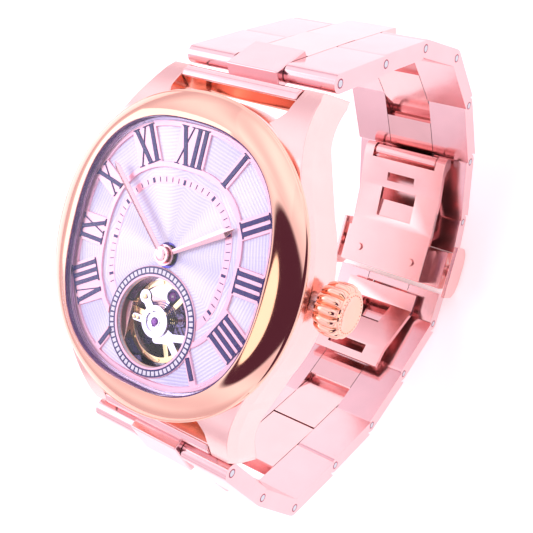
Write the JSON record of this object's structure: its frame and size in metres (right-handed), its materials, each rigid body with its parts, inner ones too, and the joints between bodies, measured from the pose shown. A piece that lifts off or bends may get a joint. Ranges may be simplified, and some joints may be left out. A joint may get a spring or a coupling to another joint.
{
  "type": "wristwatch",
  "caption": "Mechanical wristwatch with a rounded cushion case, roman dial, open balance window at six and a link bracelet with a folding clasp.",
  "frame": {"origin": "centre of the case back's outer face, on the axis of the hands", "axes": "+Z out of the dial, +Y to 12 o'clock, +X to 3 o'clock and the crown"},
  "size_m": [0.0476, 0.0805, 0.076],
  "materials": {
    "polished_case": "mirror-polished rose-gold plating on steel",
    "satin_case": "satin-brushed rose-gold plating on steel",
    "bracelet_gold": "polished and brushed rose-gold plating",
    "clasp_gold": "brushed rose-gold plating",
    "steel": "fine brushed steel",
    "movement_brass": "gilt brass",
    "movement_silver": "rhodium-plated, fine grain",
    "movement_dark": "dark violet plating",
    "dial_silver": "silvered guilloche",
    "dial_rose": "pink-gold applied frame",
    "numeral_ink": "dark blue lacquer",
    "hand_gold": "polished rose gold",
    "sapphire": "clear polished",
    "seal": "matte",
    "ruby": "polished synthetic ruby"
  },
  "bodies": {
    "case": {"mid_case": "satin_case", "bezel": "polished_case", "rehaut": "dial_silver", "crystal": "sapphire", "gaskets": "seal", "case_back": "satin_case", "back_glass": "sapphire", "back_screws": "steel", "dial": "dial_silver", "chapter_frame": "dial_rose", "numerals": "numeral_ink", "window_ring": "dial_silver", "movement_ring": "steel", "main_plate": "movement_dark", "train_bridge": "movement_silver", "escape_bridge": "movement_silver", "balance_bridge": "movement_silver", "regulator": "movement_silver", "jewels": "ruby", "barrel_arbor": "steel", "crown_tube": "steel", "end_link_12": "polished_case", "end_link_6": "polished_case", "spring_bars": "steel"},
    "minute": {"minute_hand": "hand_gold", "cannon_pinion": "movement_brass"},
    "hour": {"hour_hand": "hand_gold", "hour_wheel": "movement_brass"},
    "minute_wheel": {"minute_wheel": "movement_brass"},
    "barrel": {"barrel": "movement_brass"},
    "centre_wheel": {"centre_wheel": "movement_brass"},
    "third_wheel": {"third_wheel": "movement_brass"},
    "fourth_wheel": {"fourth_wheel": "movement_brass"},
    "escape_wheel": {"escape_wheel": "movement_brass"},
    "pallet": {"pallet_fork": "steel"},
    "balance": {"balance_wheel": "movement_brass", "hairspring": "movement_dark"},
    "setting": {"setting_lever": "steel"},
    "crown": {"crown": "polished_case", "winding_stem": "steel"},
    "l12_1": {"link_12_1": "bracelet_gold"},
    "l12_2": {"link_12_2": "bracelet_gold"},
    "l12_3": {"link_12_3": "bracelet_gold"},
    "l12_4": {"link_12_4": "bracelet_gold"},
    "l12_5": {"link_12_5": "bracelet_gold"},
    "l12_6": {"link_12_6": "bracelet_gold"},
    "l12_7": {"link_12_7": "bracelet_gold", "clasp_arm": "clasp_gold"},
    "l6_1": {"link_6_1": "bracelet_gold"},
    "l6_2": {"link_6_2": "bracelet_gold"},
    "l6_3": {"link_6_3": "bracelet_gold"},
    "l6_4": {"link_6_4": "bracelet_gold"},
    "l6_5": {"link_6_5": "bracelet_gold"},
    "l6_6": {"link_6_6": "bracelet_gold"},
    "l6_7": {"link_6_7": "bracelet_gold", "clasp_catch": "clasp_gold"},
    "clasp": {"clasp_plate": "clasp_gold", "clasp_box": "clasp_gold"},
    "button_right": {"clasp_button_right": "clasp_gold"},
    "button_left": {"clasp_button_left": "clasp_gold"}
  },
  "joints": [
    {"name": "minute_hand_turn", "type": "hinge", "parent": "case", "child": "minute", "pos_m": [0, 0, 0.008], "axis": [0, 0, 1], "continuous": true},
    {"name": "hour_hand_turn", "type": "hinge", "parent": "case", "child": "hour", "pos_m": [0, 0, 0.008], "axis": [0, 0, 1], "continuous": true},
    {"name": "minute_wheel_turn", "type": "hinge", "parent": "case", "child": "minute_wheel", "pos_m": [-0.00058, 0.00331, 0.008], "axis": [0, 0, 1], "continuous": true},
    {"name": "barrel_turn", "type": "hinge", "parent": "case", "child": "barrel", "pos_m": [-0.00516, 0.00361, 0.008], "axis": [0, 0, 1], "continuous": true},
    {"name": "centre_wheel_turn", "type": "hinge", "parent": "case", "child": "centre_wheel", "pos_m": [0, 0, 0.008], "axis": [0, 0, 1], "continuous": true},
    {"name": "third_wheel_turn", "type": "hinge", "parent": "case", "child": "third_wheel", "pos_m": [0.00396, 0.00015, 0.008], "axis": [0, 0, 1], "continuous": true},
    {"name": "fourth_wheel_turn", "type": "hinge", "parent": "case", "child": "fourth_wheel", "pos_m": [0.00444, -0.00322, 0.008], "axis": [0, 0, 1], "continuous": true},
    {"name": "escape_wheel_turn", "type": "hinge", "parent": "case", "child": "escape_wheel", "pos_m": [0.00129, -0.00377, 0.008], "axis": [0, 0, 1], "continuous": true},
    {"name": "pallet_rock", "type": "hinge", "parent": "case", "child": "pallet", "pos_m": [-0.0004, -0.00594, 0.0057], "axis": [0, 0, 1], "range_deg": [-5, 5]},
    {"name": "balance_swing", "type": "hinge", "parent": "case", "child": "balance", "pos_m": [0, -0.00936, 0.008], "axis": [0, 0, 1], "range_deg": [-270, 270], "stiffness_Nm_per_rad": 0.0000004},
    {"name": "crown_pull", "type": "slide", "parent": "case", "child": "setting", "axis": [1, 0, 0], "range_m": [0, 0.0015]},
    {"name": "crown_turn", "type": "hinge", "parent": "setting", "child": "crown", "pos_m": [0.02, 0, 0.00524], "axis": [1, 0, 0], "continuous": true},
    {"name": "link_12_1_hinge", "type": "hinge", "parent": "case", "child": "l12_1", "pos_m": [0, 0.0276, -0.0003], "axis": [1, 0, 0], "range_deg": [0, 35]},
    {"name": "link_12_2_hinge", "type": "hinge", "parent": "l12_1", "child": "l12_2", "pos_m": [0, 0.0325, -0.01158], "axis": [1, 0, 0], "range_deg": [0, 4]},
    {"name": "link_12_3_hinge", "type": "hinge", "parent": "l12_2", "child": "l12_3", "pos_m": [0, 0.03721, -0.02294], "axis": [1, 0, 0], "range_deg": [0, 20.5]},
    {"name": "link_12_4_hinge", "type": "hinge", "parent": "l12_3", "child": "l12_4", "pos_m": [0, 0.03828, -0.0352], "axis": [1, 0, 0], "range_deg": [0, 37.5]},
    {"name": "link_12_5_hinge", "type": "hinge", "parent": "l12_4", "child": "l12_5", "pos_m": [0, 0.03223, -0.0459], "axis": [1, 0, 0], "range_deg": [0, 21]},
    {"name": "link_12_6_hinge", "type": "hinge", "parent": "l12_5", "child": "l12_6", "pos_m": [0, 0.02316, -0.05421], "axis": [1, 0, 0], "range_deg": [0, 20]},
    {"name": "link_12_7_hinge", "type": "hinge", "parent": "l12_6", "child": "l12_7", "pos_m": [0, 0.01206, -0.05951], "axis": [1, 0, 0], "range_deg": [0, 18.5]},
    {"name": "link_6_1_hinge", "type": "hinge", "parent": "case", "child": "l6_1", "pos_m": [0, -0.0275, 0.0013], "axis": [-1, 0, 0], "range_deg": [0, 35]},
    {"name": "link_6_2_hinge", "type": "hinge", "parent": "l6_1", "child": "l6_2", "pos_m": [0, -0.03346, -0.00946], "axis": [-1, 0, 0], "range_deg": [0, 12]},
    {"name": "link_6_3_hinge", "type": "hinge", "parent": "l6_2", "child": "l6_3", "pos_m": [0, -0.03767, -0.02102], "axis": [-1, 0, 0], "range_deg": [0, 49]},
    {"name": "link_6_4_hinge", "type": "hinge", "parent": "l6_3", "child": "l6_4", "pos_m": [0, -0.03228, -0.03207], "axis": [-1, 0, 0], "range_deg": [0, 5]},
    {"name": "link_6_5_hinge", "type": "hinge", "parent": "l6_4", "child": "l6_5", "pos_m": [0, -0.0265, -0.04293], "axis": [-1, 0, 0], "range_deg": [0, 22]},
    {"name": "link_6_6_hinge", "type": "hinge", "parent": "l6_5", "child": "l6_6", "pos_m": [0, -0.01751, -0.05132], "axis": [-1, 0, 0], "range_deg": [0, 6]},
    {"name": "link_6_7_hinge", "type": "hinge", "parent": "l6_6", "child": "l6_7", "pos_m": [0, -0.00809, -0.05923], "axis": [-1, 0, 0], "range_deg": [0, 41]},
    {"name": "clasp_hinge", "type": "hinge", "parent": "l12_7", "child": "clasp", "pos_m": [0, 0.02146, -0.05151], "axis": [-1, 0, 0], "range_deg": [0, 60]},
    {"name": "button_right_press", "type": "slide", "parent": "clasp", "child": "button_right", "axis": [-1, 0, 0], "range_m": [0, 0.0007], "stiffness_N_per_m": 400},
    {"name": "button_left_press", "type": "slide", "parent": "clasp", "child": "button_left", "axis": [1, 0, 0], "range_m": [0, 0.0007], "stiffness_N_per_m": 400}
  ],
  "couplings": [
    {"joint": "hour_hand_turn", "follows": "minute_hand_turn", "ratio": 0.083333},
    {"joint": "minute_wheel_turn", "follows": "minute_hand_turn", "ratio": -0.33333},
    {"joint": "centre_wheel_turn", "follows": "barrel_turn", "ratio": -6},
    {"joint": "third_wheel_turn", "follows": "barrel_turn", "ratio": 48},
    {"joint": "fourth_wheel_turn", "follows": "barrel_turn", "ratio": -360},
    {"joint": "escape_wheel_turn", "follows": "barrel_turn", "ratio": 3240}
  ]
}
